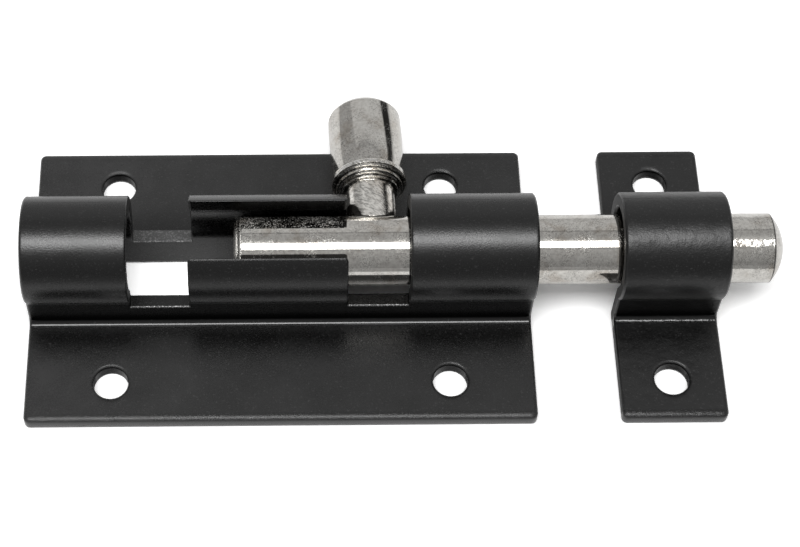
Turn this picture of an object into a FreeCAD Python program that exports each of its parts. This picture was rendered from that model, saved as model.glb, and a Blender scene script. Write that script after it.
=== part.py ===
import FreeCAD
import Part

import math
import os

# Door bolt: a rod that slides and turns in a plate folded from one sheet, and a keeper of the same section.
# Millimetres. The origin is the middle of the barrel plate's four screw holes, on its back face.
# +X runs along the rod towards the keeper, +Z away from the door, and the plates lie on z = 0.

# The pressed sheet that both plates are made of
sheet_thickness = 2.3
plate_width = 50.0
hoop_outer_radius = 8.5
hoop_centre_height = 12.25
neck_half_gap = 4.95
fold_radius = 1.0
fold_back_radius = 0.8
shoulder_radius = 0.6
plan_corner_radius = 0.9
edge_bevel = 0.3
opening_bevel = 0.15

# Barrel plate along X: whole, then its stretches from the tail end up to the second notch
barrel_length = 80.0
tail_hoop_length = 16.35
tail_notch_length = 9.5
guide_length = 24.75
nose_notch_length = 9.75

# Openings in the barrel plate: the notches reach down below the hoop's centre
notch_depth = 5.55
slot_width = 9.7
slot_offset = -0.75
slot_corner_radius = 0.5

# Screw holes
screw_hole_diameter = 5.5
screw_spacing_x = 53.3
screw_spacing_y = 36.5

# Keeper
keeper_gap = 13.2
keeper_length = 16.5

# Rod: its tail is reckoned from the knob's axis, and its nose passes the keeper when locked
rod_diameter = 11.0
rod_tail_reach = 22.1
rod_overhang = 9.5
nose_dome_height = 2.2
tail_chamfer_length = 1.2
tail_chamfer_depth = 0.9

# Knob, turned about its own axis; distances are from the rod's axis, and head_swell is where the head's
# curved flank is drawn towards. It leans a little towards the tail, as its thread lets it.
knob_lean = 2.1
stem_diameter = 7.9
collar_start = 11.2
collar_end = 13.2
collar_diameter = 12.0
collar_rim_length = 0.8
collar_ridges = 3
ridge_depth = 0.28
waist_diameter = 10.6
waist_distance = 14.7
head_swell_diameter = 12.35
head_swell_distance = 18.7
head_top_diameter = 11.9
head_top_distance = 26.3
head_corner_radius = 0.6
head_dome_height = 3.3

# Clearances
rod_seat_clearance = 0.3
stem_seat_clearance = 0.1
stem_notch_clearance = 0.1
stem_stop_clearance = 0.15

# How far a cutter passes the faces that it cuts, what counts as equal, and what counts as a slight angle
cutter_margin = 1.0
tolerance = 0.001
slight_angle = 20.0

# Worked out from the sizes above
barrel_start = -barrel_length / 2
keeper_start = barrel_start + barrel_length + keeper_gap
keeper_end = keeper_start + keeper_length
tail_notch_start = barrel_start + tail_hoop_length
guide_start = tail_notch_start + tail_notch_length
nose_notch_start = guide_start + guide_length

hoop_top = hoop_centre_height + hoop_outer_radius
notch_floor_height = hoop_centre_height - notch_depth
neck_outer = neck_half_gap + sheet_thickness
shoulder_y = neck_outer + shoulder_radius
shoulder_drop = math.sqrt((hoop_outer_radius + shoulder_radius) ** 2 - shoulder_y ** 2)
shoulder_z = hoop_centre_height - shoulder_drop
shoulder_angle = math.degrees(math.atan2(shoulder_drop, shoulder_y))

rod_radius = rod_diameter / 2
stem_radius = stem_diameter / 2
shoulder_inner_radius = shoulder_radius + sheet_thickness
rod_to_shoulder = rod_radius + rod_seat_clearance + shoulder_inner_radius
rod_height = shoulder_z + math.sqrt(rod_to_shoulder ** 2 - shoulder_y ** 2)
lean = math.radians(knob_lean)
stem_to_notch = stem_notch_clearance + stem_radius / math.cos(lean) + hoop_outer_radius * math.tan(lean)
knob_x = nose_notch_start + stem_to_notch
rod_nose_reach = keeper_end + rod_overhang - knob_x
head_tip_distance = head_top_distance + head_dome_height

# The laid back stem rests over the notch's outer edge, a little below level
stop_y = neck_outer
stop_z = notch_floor_height - rod_height
stop_reach = math.hypot(stop_y, stop_z)
stop_angle = math.degrees(math.atan2(stop_z, stop_y))
stem_angle = stop_angle + math.degrees(math.asin((stem_radius + stem_stop_clearance) / stop_reach))

ALONG = FreeCAD.Vector(1, 0, 0)
UP = FreeCAD.Vector(0, 0, 1)


def across(y, z):
    """A point of a section across the rod."""
    return FreeCAD.Vector(0, y, z)


def beside(distance, radius):
    """A point of the half outline of a piece turned about +X."""
    return FreeCAD.Vector(distance, radius, 0)


def lines(point, pairs):
    """Straight edges from pair to pair, each made a point by the given function."""
    vectors = [point(*pair) for pair in pairs]
    return [Part.makeLine(a, b) for a, b in zip(vectors, vectors[1:])]


def arc(point, centre, radius, start, end):
    """An arc between two angles in degrees, about a centre given as a pair."""
    vectors = []
    for degrees in (start, (start + end) / 2, end):
        angle = math.radians(degrees)
        vectors.append(point(centre[0] + radius * math.cos(angle), centre[1] + radius * math.sin(angle)))
    return Part.Arc(*vectors).toShape()


def half_surface(depth, radius):
    """The +Y half of one face of the folded sheet, up to the hoop, by its depth and its fold's radius."""
    flange_z = sheet_thickness - depth
    neck_y = neck_outer - depth
    fold_y = neck_y + radius
    fold_z = flange_z + radius
    flange = lines(across, [(plate_width / 2, flange_z), (fold_y, flange_z)])
    fold = arc(across, (fold_y, fold_z), radius, 270, 180)
    neck = lines(across, [(neck_y, fold_z), (neck_y, shoulder_z)])
    shoulder = arc(across, (shoulder_y, shoulder_z), shoulder_radius + depth, 180, 180 - shoulder_angle)
    return flange + [fold] + neck + [shoulder]


def sheet_section():
    """The face of the sheet folded into two flanges, a neck and a hoop."""
    edges = []
    for depth, radius in ((0, fold_radius), (sheet_thickness, fold_back_radius)):
        half = half_surface(depth, radius)
        edges += half
        edges += [edge.mirror(FreeCAD.Vector(), across(1, 0)) for edge in half]
        hoop = (0, hoop_centre_height)
        edges.append(arc(across, hoop, hoop_outer_radius - depth, -shoulder_angle, 180 + shoulder_angle))
    for edge_y in (-plate_width / 2, plate_width / 2):
        edges += lines(across, [(edge_y, 0), (edge_y, sheet_thickness)])
    return Part.Face(Part.Wire(Part.__sortEdges__(edges)))


def is_upright(edge):
    """True for an edge along Z."""
    box = edge.BoundBox
    return box.XLength < tolerance and box.YLength < tolerance


def is_plan_corner(edge):
    """True for the upright edges at the corners of a plate's outline."""
    return is_upright(edge) and abs(abs(edge.BoundBox.Center.y) - plate_width / 2) < tolerance


def middle_of(edge):
    """The point half way along an edge."""
    return edge.valueAt((edge.FirstParameter + edge.LastParameter) / 2)


def is_sharp(shape, edge):
    """True where two faces meet at more than a slight angle along the edge."""
    faces = shape.ancestorsOfType(edge, Part.Face)
    if len(faces) != 2:
        return False
    normals = []
    for face in faces:
        u, v = face.Surface.parameter(middle_of(edge))
        normals.append(face.normalAt(u, v))
    return normals[0].getAngle(normals[1]) > math.radians(slight_angle)


def bevelled(shape, size, edges):
    """The shape with a narrow bevel along each of the edges that is sharp."""
    return shape.makeChamfer(size, [edge for edge in edges if is_sharp(shape, edge)])


def screw_holes(places):
    """Cutters for screw holes at the places given as x and y."""
    holes = []
    height = sheet_thickness + 2 * cutter_margin
    for x, y in places:
        foot = FreeCAD.Vector(x, y, -cutter_margin)
        holes.append(Part.makeCylinder(screw_hole_diameter / 2, height, foot, UP))
    return holes


def folded_plate(start, length, hole_places):
    """A length of the folded sheet with its screw holes, bevelled along the edges clear of the door."""
    plate = sheet_section().extrude(ALONG * length)
    plate.translate(ALONG * start)
    plate = plate.makeFillet(plan_corner_radius, [edge for edge in plate.Edges if is_plan_corner(edge)])
    plate = plate.cut(screw_holes(hole_places))
    return bevelled(plate, edge_bevel, [edge for edge in plate.Edges if edge.BoundBox.ZMax > tolerance])


def block(x_start, x_end, y_start, y_end, z_start, z_end):
    """A box between two values along each axis."""
    corner = FreeCAD.Vector(x_start, y_start, z_start)
    return Part.makeBox(x_end - x_start, y_end - y_start, z_end - z_start, corner)


def is_slot_corner(edge):
    """True for the upright edges of the openings where the slot meets a notch."""
    box = edge.BoundBox
    at_end = min(abs(box.Center.x - guide_start), abs(box.Center.x - nose_notch_start)) < tolerance
    return at_end and is_upright(edge) and box.ZMin > notch_floor_height + tolerance


def barrel_opening():
    """A cutter for the two notches across the hoop and the slot that joins them."""
    reach = hoop_outer_radius + cutter_margin
    above = hoop_top + cutter_margin
    slot_low = slot_offset - slot_width / 2
    slot_high = slot_offset + slot_width / 2
    cutter = block(guide_start, nose_notch_start, slot_low, slot_high, hoop_centre_height, above)
    for start, length in ((tail_notch_start, tail_notch_length), (nose_notch_start, nose_notch_length)):
        notch = block(start, start + length, -reach, reach, notch_floor_height, above)
        cutter = cutter.fuse(notch)
    cutter = cutter.removeSplitter()
    return cutter.makeFillet(slot_corner_radius, [edge for edge in cutter.Edges if is_slot_corner(edge)])


def barrel_plate():
    """The plate that the rod runs in."""
    places = [(x * screw_spacing_x / 2, y * screw_spacing_y / 2) for x in (-1, 1) for y in (-1, 1)]
    opening = barrel_opening()
    plate = folded_plate(barrel_start, barrel_length, places).cut(opening)
    cut_edges = [edge for edge in plate.Edges if opening.isInside(middle_of(edge), tolerance, True)]
    return bevelled(plate, opening_bevel, cut_edges)


def keeper_plate():
    """The plate that takes the rod's nose."""
    middle = keeper_start + keeper_length / 2
    places = [(middle, side * screw_spacing_y / 2) for side in (-1, 1)]
    return folded_plate(keeper_start, keeper_length, places)


def turned(edges):
    """The solid that a closed half outline makes, turned about +X through the origin."""
    face = Part.Face(Part.Wire(edges))
    return face.revolve(FreeCAD.Vector(), ALONG, 360)


def bolt_rod():
    """The rod, with a chamfered tail and a domed nose."""
    dome_radius = (rod_radius ** 2 + nose_dome_height ** 2) / (2 * nose_dome_height)
    dome_centre = rod_nose_reach - dome_radius
    dome_angle = math.degrees(math.asin(rod_radius / dome_radius))
    edges = lines(beside, [
        (rod_nose_reach, 0),
        (-rod_tail_reach, 0),
        (-rod_tail_reach, rod_radius - tail_chamfer_depth),
        (-rod_tail_reach + tail_chamfer_length, rod_radius),
        (rod_nose_reach - nose_dome_height, rod_radius),
    ])
    edges.append(arc(beside, (dome_centre, 0), dome_radius, dome_angle, 0))
    rod = turned(edges)
    rod.translate(FreeCAD.Vector(knob_x, 0, rod_height))
    return rod


def collar_points():
    """Points up the ridged cone under the knob's collar and along its rim."""
    step = (collar_end - collar_start) / collar_ridges
    rise = (collar_diameter / 2 - stem_radius) / collar_ridges
    points = []
    for ridge in range(collar_ridges):
        distance = collar_start + ridge * step
        radius = stem_radius + ridge * rise
        points.append((distance, radius))
        points.append((distance + step / 2, radius + rise))
        points.append((distance + step, radius + rise - ridge_depth))
    points.append((collar_end, collar_diameter / 2))
    points.append((collar_end + collar_rim_length, collar_diameter / 2))
    return points


def head_edges():
    """The knob's head from its waist to its tip: a swelling flank, a round corner and a dome."""
    waist = beside(waist_distance, waist_diameter / 2)
    swell = beside(head_swell_distance, head_swell_diameter / 2)
    top = beside(head_top_distance, head_top_diameter / 2)
    flank = Part.BezierCurve()
    flank.setPoles([waist, swell, top])
    top_angle = math.atan2(top.x - swell.x, swell.y - top.y)
    corner_distance = top.x - head_corner_radius * math.cos(top_angle)
    corner_offset = top.y - head_corner_radius * math.sin(top_angle)
    cap_angle = 2 * math.atan((head_tip_distance - corner_distance - head_corner_radius) / corner_offset)
    cap_radius = head_corner_radius + corner_offset / math.sin(cap_angle)
    centre = (corner_distance, corner_offset)
    corner = arc(beside, centre, head_corner_radius, math.degrees(top_angle), math.degrees(cap_angle))
    cap = arc(beside, (head_tip_distance - cap_radius, 0), cap_radius, math.degrees(cap_angle), 0)
    return [flank.toShape(), corner, cap]


def knob():
    """The turned knob, on a stem whose end is hollowed to sit on the rod."""
    points = [(head_tip_distance, 0), (0, 0), (0, stem_radius)]
    points += collar_points() + [(waist_distance, waist_diameter / 2)]
    piece = turned(lines(beside, points) + head_edges())
    piece.rotate(FreeCAD.Vector(), UP, 90 + knob_lean)
    seat_radius = rod_radius + stem_seat_clearance
    seat_foot = FreeCAD.Vector(-stem_diameter, 0, 0)
    piece = piece.cut(Part.makeCylinder(seat_radius, 2 * stem_diameter, seat_foot, ALONG))
    piece.rotate(FreeCAD.Vector(), ALONG, stem_angle)
    piece.translate(FreeCAD.Vector(knob_x, 0, rod_height))
    return piece


os.makedirs("parts", exist_ok=True)
pieces = {
    "barrel_plate": barrel_plate(),
    "keeper_plate": keeper_plate(),
    "bolt_rod": bolt_rod(),
    "knob": knob(),
}
for name, shape in pieces.items():
    if len(shape.Solids) != 1:
        raise ValueError(name + " is not one solid")
    solid = shape.Solids[0]
    solid.exportStep(os.path.join("parts", name + ".step"))
    box = solid.BoundBox
    print(name, "valid", solid.isValid(), "volume", round(solid.Volume, 1), "faces", len(solid.Faces))
    for axis, low, high in (("x", box.XMin, box.XMax), ("y", box.YMin, box.YMax), ("z", box.ZMin, box.ZMax)):
        print("  ", axis, round(low, 2), "to", round(high, 2))
print("rod height", round(rod_height, 3), "knob x", round(knob_x, 3), "stem angle", round(stem_angle, 2))
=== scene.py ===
import math
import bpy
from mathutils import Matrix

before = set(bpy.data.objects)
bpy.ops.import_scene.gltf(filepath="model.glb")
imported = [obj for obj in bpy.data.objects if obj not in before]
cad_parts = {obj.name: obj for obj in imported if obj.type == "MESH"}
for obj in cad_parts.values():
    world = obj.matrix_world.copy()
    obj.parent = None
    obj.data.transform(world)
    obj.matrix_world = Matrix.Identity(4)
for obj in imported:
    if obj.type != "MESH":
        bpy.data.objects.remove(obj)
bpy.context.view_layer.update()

from types import SimpleNamespace

import bpy

MM = 0.001

# Camera: where it stands, how far it looks down and how far it turns towards +X, in degrees
camera_place = (1.73 * MM, -167.85 * MM, 283.23 * MM)
camera_down = 58.93
camera_turn = 0.5
camera_lens = 91.2
camera_shift = 0.125
camera_near = 10 * MM

# Softbox: its front and back edges as seen from the bolt, in degrees from straight up, front negative
softbox_height = 1.0
softbox_front_angle = -24.3
softbox_back_angle = -5.0
softbox_middle_x = -0.083
softbox_length = 0.74
softbox_radiance = 9.0

# Greys of the room, by the degrees from straight up in the plane across the bolt, front negative
room_greys = [
    (-90, 0.31),
    (-80, 0.31),
    (-70, 0.36),
    (-50, 0.43),
    (-40, 0.48),
    (-33, 0.52),
    (-30, 0.42),
    (-26, 0.62),
    (-23, 0.70),
    (-6, 0.95),
    (0, 0.66),
    (6, 0.51),
    (14, 0.47),
    (22, 0.47),
    (27, 0.52),
    (29, 0.40),
    (31, 0.27),
    (34, 0.60),
    (50, 0.66),
    (70, 0.62),
    (84, 0.58),
    (90, 0.58),
]

# Every value named edge is a place and the softness on either side of it

# Sides of the room, which the knob shows: a grey wall on the left, and a dark strip low on the right
left_wall_edge = (0.53, 0.03)
left_wall_grey = 0.44
strip_edge = (0.55, 0.03)
strip_heights = (0.05, 0.36)
strip_softness = 0.03
strip_grey = 0.03

# Floor: its own grey, the white that the camera sees, and the white that the metal shows
floor_half_size = 3.0
floor_gap = 0.02 * MM
floor_grey = 0.86
floor_white = 1.34
floor_shine = 0.87

# Where the floor's paper ends in front for the metal, and what the metal shows beyond it
paper_edge = (-55 * MM, 2 * MM)
table_shine = 0.33

# Floor under the tail notch, where painted light lifts the shade, with its softness along X and along Y
under_notch_x = (-26 * MM, -11 * MM)
under_notch_y = (-5.2 * MM, 5.2 * MM)
under_notch_softness = (1 * MM, 0.3 * MM)
under_notch_painted_light = 2.2

# Plates by the distance from the middle line: beyond the hoop, the outer part, and the rim
flange_edge = (14.5 * MM, 0.5 * MM)
outer_edge = (21 * MM, 0.5 * MM)
rim_edge = (23.8 * MM, 0.2 * MM)

# Start of the keeper along X, and how squarely a face looks along X to be an end face
keeper_edge = (50 * MM, 1 * MM)
end_face_edge = (0.9, 0.05)

# Fold between neck and flange
fold_side = (7.1 * MM, 8.3 * MM)
fold_softness = 0.1 * MM
fold_top_edge = (3.6 * MM, 0.1 * MM)

# Outer walls of the neck, where painted shade takes away the coat's reflection
neck_side = (7.05 * MM, 7.5 * MM)
neck_side_softness = 0.05 * MM
neck_heights = (2.9 * MM, 8.2 * MM)
neck_height_softness = 0.4 * MM

# Screw holes: their places, their wall, darkened by painted shade, and the painted highlight at its foot
hole_side = 18.25 * MM
hole_end = 26.65 * MM
keeper_hole = 61.45 * MM
hole_wall_edge = (2.81 * MM, 0.03 * MM)
hole_foot_highlight_edge = (0.2 * MM, 0.08 * MM)

# Notches: their ends along X, and the heights between which their cut faces lie
tail_notch = (-23.65 * MM, -14.15 * MM)
nose_notch = (10.6 * MM, 20.35 * MM)
cut_heights = (6.5 * MM, 6.9 * MM)
cut_softness = 0.02 * MM

# Back cut face of a notch, and the painted highlight lines at its inner side and at the front cut face's
# outer side
back_cut_edge = (4.9 * MM, 0.05 * MM)
inner_highlight_band = (4.9 * MM, 5.08 * MM)
front_highlight_edge = (-7.05 * MM, 0.04 * MM)

# Cut face along the back of the slot, darkened by painted shade
slot_back = 4.1 * MM
slot_face_edge = (0.03 * MM, 0.01 * MM)
slot_foot = 14 * MM
slot_foot_softness = 0.1 * MM
hoop_top_softness = 0.3 * MM

# Noises of the coat: how large their features are, their detail and their roughness
swell_noise = (3.0 * MM, 2.0, 0.5)
peel_noise = (1.3 * MM, 3.0, 0.6)
grain_noise = (0.20 * MM, 2.0, 0.5)
cloud_noise = (6 * MM, 3.0, 0.6)
speck_noise = (0.3 * MM, 2.0, 0.5)
speck_edge = (0.66, 0.05)
chip_noise = (0.30 * MM, 3.0, 0.7)
chip_edge = (0.56, 0.05)

# How round the coat's edges look: on the hoop, on the flanges and the hoop's top, and on the outer part
hoop_rounding = 0.25 * MM
flange_rounding = 0.5 * MM
outer_rounding = 1.3 * MM
coat_rounding_samples = 8

# Depths of the coat's bumps: swell and peel on the barrel plate and on the keeper, and the grain's
swell_depths = (0.012 * MM, 0.075 * MM)
peel_depths = (0.004 * MM, 0.055 * MM)
grain_depth = 0.022 * MM
back_cut_grain_depth = 0.06 * MM
fold_grain_depth = 0.006 * MM

# Greys of the coat: its specks, the worn back cut faces with their chips, and the painted highlight lines
speck_grey = 0.02
worn_grey = 0.045
worn_chip_grey = 0.09
highlight_line_greys = (0.10, 0.40)

# Haze on the flat flanges, the coat's own grey, left off beside the hoop as painted shade: where it
# starts, its greys, and its share at tail, nose and keeper
haze_shade_edge = (13 * MM, 4 * MM)
haze_greys = (0.005, 0.017)
haze_tail_edge = (-15 * MM, 25 * MM)
haze_tail_and_nose = (1.8, 1.0)
haze_keeper = 0.5

# Roughness of the coat: by cloud and by grain, more on the keeper, and its own in some places
cloud_roughness = (0.16, 0.26)
grain_roughness = (0.0, 0.14)
keeper_roughness = 0.05
end_face_roughness = 0.6
bend_roughness = 0.13
back_cut_roughness = 0.45

# Gloss of the coat, and how much of it the neck's walls lose to painted shade
coat_gloss = 0.58
neck_painted_shade = 0.7

# Noises of the metal: how large their features are, their detail and their roughness
pit_noise = (0.35 * MM, 3.0, 0.6)
grit_noise = (0.16 * MM, 2.0, 0.6)
grit_edge = (0.58, 0.06)
patch_noise = (2.5 * MM, 3.0, 0.6)
spot_edge = (0.52, 0.12)
patch_edge = (0.48, 0.10)
tarnish_noise = (4 * MM, 3.0, 0.6)
stain_noise = (0.5 * MM, 4.0, 0.65)
stain_edge = (0.5, 0.22)
pinhole_noise = (0.20 * MM, 2.0, 0.5)
pinhole_edge = (0.56, 0.05)

# Finish of the metal
metal_rounding = 0.12 * MM
metal_rounding_samples = 4
pit_depth = 0.0008 * MM
pit_roughness = (0.01, 0.06)
spot_roughness = 0.35
stain_tints = (0.84, 1.08)
pinhole_tints = (1.0, 0.62)
metal_colours = [
    (0.34, (0.50, 0.465, 0.42, 1)),
    (0.45, (0.60, 0.58, 0.545, 1)),
    (0.65, (0.66, 0.645, 0.61, 1)),
]

# Knob: a point on its axis, the way that it points at rest, and where its parts end along it
knob_foot = (14.964 * MM, 0, 11.398 * MM)
knob_axis = (-0.0366, 0.9961, -0.0803)
stem_edge = (11.3 * MM, 0.15 * MM)
collar_edge = (13.9 * MM, 0.1 * MM)
waist_edge = (19 * MM, 3 * MM)

# Roughness that the knob's parts have more, or less, than the rest
waist_roughness = 0.09
stem_roughness = -0.06
collar_roughness = 0.05

# Slanting streaks on the stem, and fainter on the collar
streak_turn = 35
streak_noise = (0.34 * MM, 3.0, 0.7)
streak_stretch = (0.35, 1.0, 0.6)
streak_depth = 0.028 * MM
collar_streaks = 0.4
blotch_edge = (0.47, 0.12)
blotch_tints = (0.6, 1.3)

# Fine turned rings on the collar, darker in the grooves and with painted highlight on the crests
ring_pitch = 0.26 * MM
ring_wobble = 0.08 * MM
ring_depth = 0.014 * MM
groove_edge = (-0.2, 0.7)
groove_and_highlight_tints = (0.3, 1.45)

# Rod: the end of its chamfered tail, its scuffed back, its uneven nose, and the line at its dome's foot
tail_edge = (-5.9 * MM, 0.1 * MM)
scuff_side_edge = (0.9 * MM, 0.1 * MM)
scuff_end_edge = (10.4 * MM, 0.1 * MM)
nose_edge = (70 * MM, 1 * MM)
dome_foot = 77.0 * MM
dome_line_edge = (0.14 * MM, 0.08 * MM)
dome_line_tints = (1.0, 0.22)

# Scuffed back of the rod
scuff_roughness = 0.05
dirt_noise = (0.22 * MM, 3.0, 0.65)
dirt_levels = (0.72, 0.46)
dirt_edge = (0.0, 0.05)
dirt_share = 0.8

# Tail and nose of the rod: roughness, the depths of their bumps, and the turned rings on the tail, darker
# in the grooves and with painted highlight on the crests
tail_roughness = 0.10
tail_stain_depth = 0.16 * MM
nose_stain_depth = 0.006 * MM
nose_patch_depth = 0.07 * MM
tail_ring_pitch = 0.62 * MM
tail_ring_wobble = 0.15 * MM
tail_ring_depth = 0.05 * MM
tail_groove_edge = (0.0, 0.8)
tail_groove_and_highlight_tints = (0.4, 1.4)


class Graph:
    """Short calls that add nodes to one node tree."""

    def __init__(self, tree):
        self.tree = tree
        tree.nodes.clear()

    def add(self, kind, sockets, **settings):
        """A new node with its settings, and its sockets given as values or as other nodes' outputs."""
        node = self.tree.nodes.new(kind)
        for name, value in settings.items():
            setattr(node, name, value)
        for name, value in sockets.items():
            if isinstance(value, bpy.types.NodeSocket):
                self.tree.links.new(value, node.inputs[name])
            else:
                node.inputs[name].default_value = value
        return node

    def place(self):
        """The place on the object, in metres."""
        return self.add("ShaderNodeTexCoord", {}).outputs["Object"]

    def parts(self, vector):
        """The X, Y and Z of a vector."""
        return self.add("ShaderNodeSeparateXYZ", {"Vector": vector}).outputs

    def math(self, operation, *values):
        """The result of a maths node."""
        return self.add("ShaderNodeMath", dict(enumerate(values)), operation=operation).outputs[0]

    def plus(self, first, second):
        """The sum of two values."""
        return self.math("ADD", first, second)

    def minus(self, first, second):
        """The first value less the second."""
        return self.math("SUBTRACT", first, second)

    def times(self, first, second):
        """The product of two values."""
        return self.math("MULTIPLY", first, second)

    def higher(self, first, second):
        """The higher of two values."""
        return self.math("MAXIMUM", first, second)

    def apart(self, value, place):
        """How far a value is from a place, on either side."""
        return self.math("ABSOLUTE", self.minus(value, place))

    def between(self, value, limits):
        """The value, from 0 to 1, brought between two limits."""
        sockets = {"Value": value, "To Min": limits[0], "To Max": limits[1]}
        return self.add("ShaderNodeMapRange", sockets).outputs["Result"]

    def step(self, value, edge):
        """0 below an edge and 1 above it."""
        place, softness = edge
        sockets = {"Value": value, "From Min": place - softness, "From Max": place + softness}
        node = self.add("ShaderNodeMapRange", sockets, interpolation_type="SMOOTHSTEP")
        return node.outputs["Result"]

    def under(self, value, edge):
        """1 below an edge and 0 above it."""
        return self.minus(1.0, self.step(value, edge))

    def band(self, value, limits, softness):
        """1 between two limits and 0 outside them."""
        low, high = limits
        return self.times(self.step(value, (low, softness)), self.under(value, (high, softness)))

    def mix(self, share, first, second):
        """A value between two others."""
        sockets = {"Factor": share, "A": first, "B": second}
        return self.add("ShaderNodeMix", sockets).outputs["Result"]

    def ramp(self, value, stops):
        """Grey or colour by value, from stops given as place and grey, or as place and colour."""
        node = self.add("ShaderNodeValToRGB", {"Fac": value})
        elements = node.color_ramp.elements
        while len(elements) < len(stops):
            elements.new(0.5)
        for element, (place, colour) in zip(elements, stops):
            element.position = place
            element.color = colour if isinstance(colour, tuple) else (colour, colour, colour, 1)
        return node.outputs["Color"]

    def noise(self, place, kind):
        """Noise from 0 to 1, of a kind given as size, detail and roughness."""
        size, detail, roughness = kind
        sockets = {"Vector": place, "Scale": 1 / size, "Detail": detail, "Roughness": roughness}
        return self.add("ShaderNodeTexNoise", sockets).outputs["Fac"]

    def vector(self, operation, sockets, output="Vector"):
        """The result of a vector maths node."""
        return self.add("ShaderNodeVectorMath", sockets, operation=operation).outputs[output]

    def along(self, place, direction, foot):
        """How far a place is from a foot in a direction."""
        offset = self.vector("SUBTRACT", {0: place, 1: foot})
        return self.vector("DOT_PRODUCT", {0: offset, 1: direction}, "Value")

    def rings(self, distance, wobble, pitch):
        """Waves from -1 to 1 along a distance that wobbles."""
        turns = self.plus(distance, wobble)
        return self.math("SINE", self.times(turns, 2 * math.pi / pitch))

    def rounded(self, radius, samples):
        """The normal with its edges rounded."""
        return self.add("ShaderNodeBevel", {"Radius": radius}, samples=samples).outputs["Normal"]

    def bump(self, height, depth, normal):
        """The normal over a height from 0 to 1 that stands for the given depth."""
        sockets = {"Strength": 1.0, "Distance": depth, "Height": height, "Normal": normal}
        return self.add("ShaderNodeBump", sockets).outputs["Normal"]

    def finish(self, sockets):
        """The shader that the material ends in."""
        shader = self.add("ShaderNodeBsdfPrincipled", sockets)
        self.add("ShaderNodeOutputMaterial", {"Surface": shader.outputs[0]})


def new_material(name):
    """A material and its empty graph."""
    material = bpy.data.materials.new(name)
    material.use_nodes = True
    return material, Graph(material.node_tree)


def hole_distance(graph, x, side):
    """How far a place is from the axis of the nearest screw hole."""
    from_barrel_hole = graph.apart(graph.math("ABSOLUTE", x), hole_end)
    from_keeper_hole = graph.apart(x, keeper_hole)
    offset = graph.add("ShaderNodeCombineXYZ", {
        "X": graph.math("MINIMUM", from_barrel_hole, from_keeper_hole),
        "Y": graph.minus(side, hole_side),
    }).outputs[0]
    return graph.vector("LENGTH", {0: offset}, "Value")


def coat_masks(graph, place):
    """Where the coat differs, each as a value from 0 to 1."""
    x, y, z = graph.parts(place)
    side = graph.math("ABSOLUTE", y)
    tail = graph.band(x, tail_notch, cut_softness)
    nose = graph.band(x, nose_notch, cut_softness)
    cut = graph.times(graph.band(z, cut_heights, cut_softness), graph.plus(tail, nose))
    # Painted highlight lines along the notches' cut edges and at the foot of the hole walls
    front_highlight = graph.times(cut, graph.under(y, front_highlight_edge))
    inner_highlight = graph.times(cut, graph.band(y, inner_highlight_band, cut_softness))
    hole_wall = graph.under(hole_distance(graph, x, side), hole_wall_edge)
    hole_foot_highlight = graph.times(hole_wall, graph.under(z, hole_foot_highlight_edge))
    slot_face = graph.times(
        graph.under(graph.apart(y, slot_back), slot_face_edge),
        graph.step(z, (slot_foot, slot_foot_softness)),
    )
    # Painted shade on the neck's outer walls, in the recess under the hoop
    neck = graph.times(
        graph.band(side, neck_side, neck_side_softness),
        graph.band(z, neck_heights, neck_height_softness),
    )
    # Painted shade: the hole walls, all but their foot, and the slot's back cut face
    painted_shade_walls = graph.higher(slot_face, graph.minus(hole_wall, hole_foot_highlight))
    fold = graph.times(graph.band(side, fold_side, fold_softness), graph.under(z, fold_top_edge))
    facing = graph.parts(graph.add("ShaderNodeNewGeometry", {}).outputs["Normal"])["X"]
    keeper = graph.step(x, keeper_edge)
    haze_share = graph.between(graph.step(x, haze_tail_edge), haze_tail_and_nose)
    haze_share = graph.mix(keeper, haze_share, haze_keeper)
    return SimpleNamespace(
        keeper=keeper,
        flange=graph.step(side, flange_edge),
        outer=graph.step(side, outer_edge),
        rim=graph.step(side, rim_edge),
        hoop_top=graph.step(z, (slot_foot, hoop_top_softness)),
        fold=fold,
        back_cut=graph.times(cut, graph.step(y, back_cut_edge)),
        painted_highlight_lines=graph.higher(graph.plus(front_highlight, inner_highlight), hole_foot_highlight),
        # Painted shade: black and without reflection on the hole walls, the slot's back cut face and
        # partly the neck's walls
        painted_shade=graph.higher(painted_shade_walls, graph.times(neck, neck_painted_shade)),
        end_face=graph.step(graph.math("ABSOLUTE", facing), end_face_edge),
        # Haze, the coat's own grey, left off beside the hoop as painted shade
        haze_and_shade=graph.times(graph.step(side, haze_shade_edge), haze_share),
    )


def coat_normal(graph, place, grain, masks):
    """Rounder edges, an uneven skin on the keeper, and a fine grain."""
    swell = graph.noise(place, swell_noise)
    peel = graph.noise(place, peel_noise)
    rounding = graph.mix(masks.flange, hoop_rounding, flange_rounding)
    rounding = graph.mix(masks.hoop_top, rounding, flange_rounding)
    rounding = graph.mix(masks.outer, rounding, outer_rounding)
    normal = graph.rounded(rounding, coat_rounding_samples)
    normal = graph.bump(swell, graph.mix(masks.keeper, *swell_depths), normal)
    normal = graph.bump(peel, graph.mix(masks.keeper, *peel_depths), normal)
    depth = graph.mix(masks.back_cut, grain_depth, back_cut_grain_depth)
    depth = graph.mix(masks.fold, depth, fold_grain_depth)
    return graph.bump(grain, depth, normal)


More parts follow.
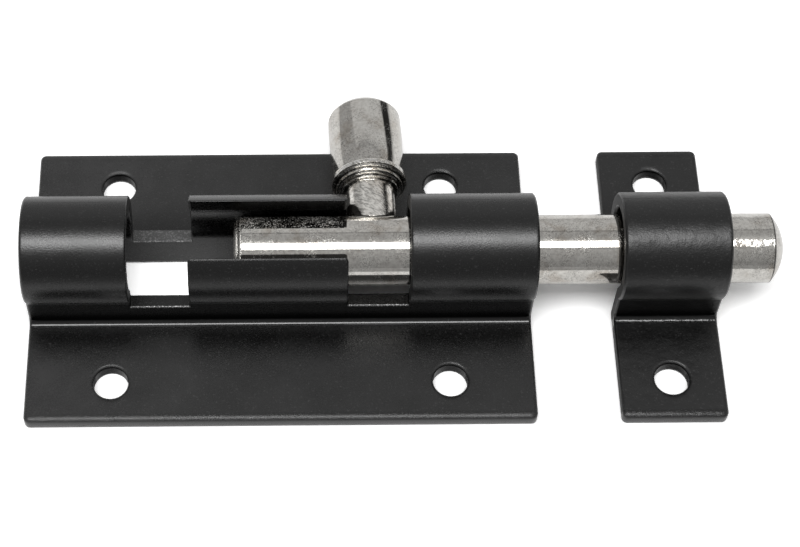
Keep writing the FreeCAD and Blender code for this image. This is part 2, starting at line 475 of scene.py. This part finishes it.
def coat_grey(graph, place, cloud, masks):
    """Black with specks, and haze that is left off beside the hoop as painted shade; black where shade is
    painted; grey on the back cut faces and bright along the painted highlight lines.
    """
    specks = graph.step(graph.noise(place, speck_noise), speck_edge)
    chips_and_highlight_breaks = graph.step(graph.noise(place, chip_noise), chip_edge)
    # Haze, with painted shade where it is left off beside the hoop
    haze_and_shade = graph.times(masks.haze_and_shade, graph.between(cloud, haze_greys))
    grey = graph.plus(graph.times(specks, speck_grey), haze_and_shade)
    # Painted shade takes the colour away on the walls that are made black
    grey = graph.times(grey, graph.minus(1.0, masks.painted_shade))
    worn = graph.plus(worn_grey, graph.times(chips_and_highlight_breaks, worn_chip_grey))
    grey = graph.mix(masks.back_cut, grey, worn)
    # Painted highlight along the lines, its brightness broken by the chip noise
    return graph.mix(masks.painted_highlight_lines, grey, graph.between(chips_and_highlight_breaks, highlight_line_greys))


def coat_roughness(graph, cloud, grain, masks):
    """Satin that varies with cloud and grain, duller on end faces and back cuts, glossier on bends."""
    rough = graph.plus(graph.between(cloud, cloud_roughness), graph.between(grain, grain_roughness))
    rough = graph.plus(rough, graph.times(masks.keeper, keeper_roughness))
    rough = graph.mix(masks.end_face, rough, end_face_roughness)
    rough = graph.mix(masks.fold, rough, bend_roughness)
    rough = graph.mix(masks.rim, rough, bend_roughness)
    return graph.mix(masks.back_cut, rough, back_cut_roughness)


def black_coat():
    """Thin satin black paint over pressed steel."""
    material, graph = new_material("black_coat")
    place = graph.place()
    masks = coat_masks(graph, place)
    grain = graph.noise(place, grain_noise)
    cloud = graph.noise(place, cloud_noise)
    graph.finish({
        "Base Color": coat_grey(graph, place, cloud, masks),
        # Painted shade: metallic with a black colour, so that the shaded walls reflect nothing
        "Metallic": masks.painted_shade,
        "Roughness": coat_roughness(graph, cloud, grain, masks),
        "Specular IOR Level": coat_gloss,
        "Normal": coat_normal(graph, place, grain, masks),
    })
    return material


def plain_nickel(graph, place):
    """Bright nickel over turned steel, pitted and speckled, as its noises and its finish so far."""
    pits = graph.noise(place, pit_noise)
    patch = graph.noise(place, patch_noise)
    stain = graph.noise(place, stain_noise)
    grit = graph.step(graph.noise(place, grit_noise), grit_edge)
    spots = graph.times(grit, graph.step(patch, spot_edge))
    rough = graph.plus(graph.between(pits, pit_roughness), graph.times(spots, spot_roughness))
    normal = graph.bump(pits, pit_depth, graph.rounded(metal_rounding, metal_rounding_samples))
    return SimpleNamespace(
        pits=pits,
        patch=patch,
        stain=stain,
        patchy=graph.step(patch, patch_edge),
        pinholes=graph.step(graph.noise(place, pinhole_noise), pinhole_edge),
        tint=graph.between(graph.step(stain, stain_edge), stain_tints),
        rough=rough,
        normal=normal,
        metallic=1.0,
    )


def add_pinholes(graph, metal, where):
    """Darkens the metal's pinholes where they are wanted."""
    pinholes = graph.times(metal.pinholes, where)
    metal.tint = graph.times(metal.tint, graph.between(pinholes, pinhole_tints))


def finish_nickel(graph, place, metal):
    """Ends the graph in the metal's shader."""
    colour = graph.ramp(graph.noise(place, tarnish_noise), metal_colours)
    graph.finish({
        "Base Color": graph.vector("SCALE", {0: colour, "Scale": metal.tint}),
        "Metallic": metal.metallic,
        "Roughness": metal.rough,
        "Normal": metal.normal,
    })


def knob_nickel():
    """The knob's nickel, with rough streaks on the stem, rings on the collar with painted highlight on
    their crests, and a pitted waist.
    """
    material, graph = new_material("nickel_knob")
    place = graph.place()
    metal = plain_nickel(graph, place)
    distance = graph.along(place, knob_axis, knob_foot)
    waist = graph.under(distance, waist_edge)
    stem = graph.under(distance, stem_edge)
    stem_and_collar = graph.under(distance, collar_edge)
    collar = graph.minus(stem_and_collar, stem)
    add_pinholes(graph, metal, graph.higher(metal.patchy, waist))

    turn = (0, 0, math.radians(streak_turn))
    slant = graph.add("ShaderNodeMapping", {"Vector": place, "Rotation": turn}).outputs[0]
    slant = graph.vector("MULTIPLY", {0: slant, 1: streak_stretch})
    streaks = graph.noise(slant, streak_noise)
    streaked = graph.plus(stem, graph.times(collar, collar_streaks))
    rings = graph.rings(distance, graph.times(metal.pits, ring_wobble), ring_pitch)
    metal.normal = graph.bump(graph.times(streaks, streaked), streak_depth, metal.normal)
    metal.normal = graph.bump(graph.times(rings, collar), ring_depth, metal.normal)

    for part, extra in ((waist, waist_roughness), (stem, stem_roughness), (collar, collar_roughness)):
        metal.rough = graph.plus(metal.rough, graph.times(part, extra))

    blotches = graph.between(graph.step(streaks, blotch_edge), blotch_tints)
    # Darker in the grooves and painted highlight on the crests of the collar's rings
    grooves_and_highlights = graph.between(graph.step(rings, groove_edge), groove_and_highlight_tints)
    marks_and_highlights = graph.times(blotches, graph.mix(collar, 1.0, grooves_and_highlights))
    metal.tint = graph.mix(stem_and_collar, metal.tint, marks_and_highlights)
    finish_nickel(graph, place, metal)
    return material


def rod_nickel():
    """The rod's nickel, with a scuffed and dirty back, a ringed tail with painted highlight on the ring
    crests, and an uneven nose.
    """
    material, graph = new_material("nickel_rod")
    place = graph.place()
    metal = plain_nickel(graph, place)
    x, y = graph.parts(place)[:2]
    tail = graph.under(x, tail_edge)
    nose = graph.step(x, nose_edge)
    scuff = graph.times(graph.step(y, scuff_side_edge), graph.under(x, scuff_end_edge))
    dome_line = graph.under(graph.apart(x, dome_foot), dome_line_edge)
    add_pinholes(graph, metal, metal.patchy)

    dirt = graph.noise(place, dirt_noise)
    dirt = graph.step(graph.minus(dirt, graph.between(metal.patch, dirt_levels)), dirt_edge)
    dirt = graph.times(graph.times(scuff, dirt), dirt_share)
    metal.metallic = graph.minus(1.0, dirt)
    for part, extra in ((scuff, scuff_roughness), (tail, tail_roughness)):
        metal.rough = graph.plus(metal.rough, graph.times(part, extra))

    rings = graph.rings(x, graph.times(metal.pits, tail_ring_wobble), tail_ring_pitch)
    bumps = (
        (metal.stain, tail, tail_stain_depth),
        (metal.stain, nose, nose_stain_depth),
        (metal.patch, nose, nose_patch_depth),
        (rings, tail, tail_ring_depth),
    )
    for height, part, depth in bumps:
        metal.normal = graph.bump(graph.times(height, part), depth, metal.normal)

    # Darker in the grooves and painted highlight on the crests of the tail's rings
    grooves_and_highlights = graph.between(graph.step(rings, tail_groove_edge), tail_groove_and_highlight_tints)
    metal.tint = graph.mix(tail, metal.tint, grooves_and_highlights)
    metal.tint = graph.times(metal.tint, graph.between(dome_line, dome_line_tints))
    finish_nickel(graph, place, metal)
    return material


def floor_material():
    """White paper that keeps its shadow, and looks white to the camera and in the metal, with painted
    light under the tail notch that lifts the shade there.
    """
    material, graph = new_material("floor_white")
    rays = graph.add("ShaderNodeLightPath", {}).outputs
    x, y = graph.parts(graph.place())[:2]
    shown = graph.higher(rays["Is Glossy Ray"], rays["Is Transmission Ray"])
    shine = graph.mix(graph.step(y, paper_edge), table_shine, floor_shine)
    grey = graph.mix(shown, floor_grey, shine)
    painted_light_patch = graph.times(
        graph.band(x, under_notch_x, under_notch_softness[0]),
        graph.band(y, under_notch_y, under_notch_softness[1]),
    )
    # Painted light: the floor under the tail notch is made brighter to the camera, lifting its shade
    white = graph.mix(painted_light_patch, floor_white, under_notch_painted_light)
    grey = graph.mix(rays["Is Camera Ray"], grey, white)
    paper = graph.add("ShaderNodeBsdfDiffuse", {"Color": grey})
    graph.add("ShaderNodeOutputMaterial", {"Surface": paper.outputs[0]})
    return material


def make_floor():
    """A plain white floor that the plates lie on."""
    half = floor_half_size
    corners = [(x, y, -floor_gap) for x, y in ((-half, -half), (half, -half), (half, half), (-half, half))]
    mesh = bpy.data.meshes.new("floor")
    mesh.from_pydata(corners, [], [(0, 1, 2, 3)])
    mesh.materials.append(floor_material())
    floor = bpy.data.objects.new("floor", mesh)
    bpy.context.scene.collection.objects.link(floor)


def make_softbox():
    """The long softbox over the bolt."""
    front = softbox_height * math.tan(math.radians(softbox_front_angle))
    back = softbox_height * math.tan(math.radians(softbox_back_angle))
    light = bpy.data.lights.new("softbox", "AREA")
    light.shape = "RECTANGLE"
    light.size = softbox_length
    light.size_y = back - front
    light.energy = softbox_radiance * math.pi * light.size * light.size_y
    softbox = bpy.data.objects.new("softbox", light)
    softbox.location = (softbox_middle_x, (front + back) / 2, softbox_height)
    softbox.visible_camera = False
    bpy.context.scene.collection.objects.link(softbox)


def make_room():
    """The greys that the room shows in the metal, and plain white for the camera."""
    world = bpy.data.worlds.new("room")
    bpy.context.scene.world = world
    world.use_nodes = True
    graph = Graph(world.node_tree)
    x, y, z = graph.parts(graph.add("ShaderNodeTexCoord", {}).outputs["Generated"])
    share = graph.plus(graph.math("DIVIDE", graph.math("ARCTAN2", y, z), math.pi), 0.5)
    grey = graph.ramp(share, [((degrees + 90) / 180, value) for degrees, value in room_greys])
    left = graph.step(graph.times(x, -1.0), left_wall_edge)
    grey = graph.mix(left, grey, left_wall_grey)
    strip = graph.times(graph.step(x, strip_edge), graph.band(z, strip_heights, strip_softness))
    grey = graph.mix(strip, grey, strip_grey)
    camera_ray = graph.add("ShaderNodeLightPath", {}).outputs["Is Camera Ray"]
    room = graph.add("ShaderNodeBackground", {"Color": grey, "Strength": 1.0})
    white = graph.add("ShaderNodeBackground", {"Color": (1, 1, 1, 1), "Strength": 1.0})
    sockets = {"Fac": camera_ray, 1: room.outputs[0], 2: white.outputs[0]}
    mixed = graph.add("ShaderNodeMixShader", sockets)
    graph.add("ShaderNodeOutputWorld", {"Surface": mixed.outputs[0]})


def make_camera():
    """The camera at the photograph's view."""
    data = bpy.data.cameras.new("camera")
    data.lens = camera_lens
    data.shift_x = camera_shift
    data.clip_start = camera_near
    camera = bpy.data.objects.new("camera", data)
    camera.location = camera_place
    camera.rotation_euler = (math.radians(90 - camera_down), 0, math.radians(-camera_turn))
    bpy.context.scene.collection.objects.link(camera)
    bpy.context.scene.camera = camera


def dress(node, material):
    """Gives a CAD node its finish."""
    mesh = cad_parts[node].data
    mesh.materials.clear()
    mesh.materials.append(material)


bpy.context.scene.view_settings.view_transform = "Standard"
for name in ("Cube", "Light", "Camera"):
    if name in bpy.data.objects:
        bpy.data.objects.remove(bpy.data.objects[name])

coat = black_coat()
dress("barrel_plate", coat)
dress("keeper_plate", coat)
dress("bolt_rod", rod_nickel())
dress("knob", knob_nickel())

make_floor()
make_softbox()
make_room()
make_camera()
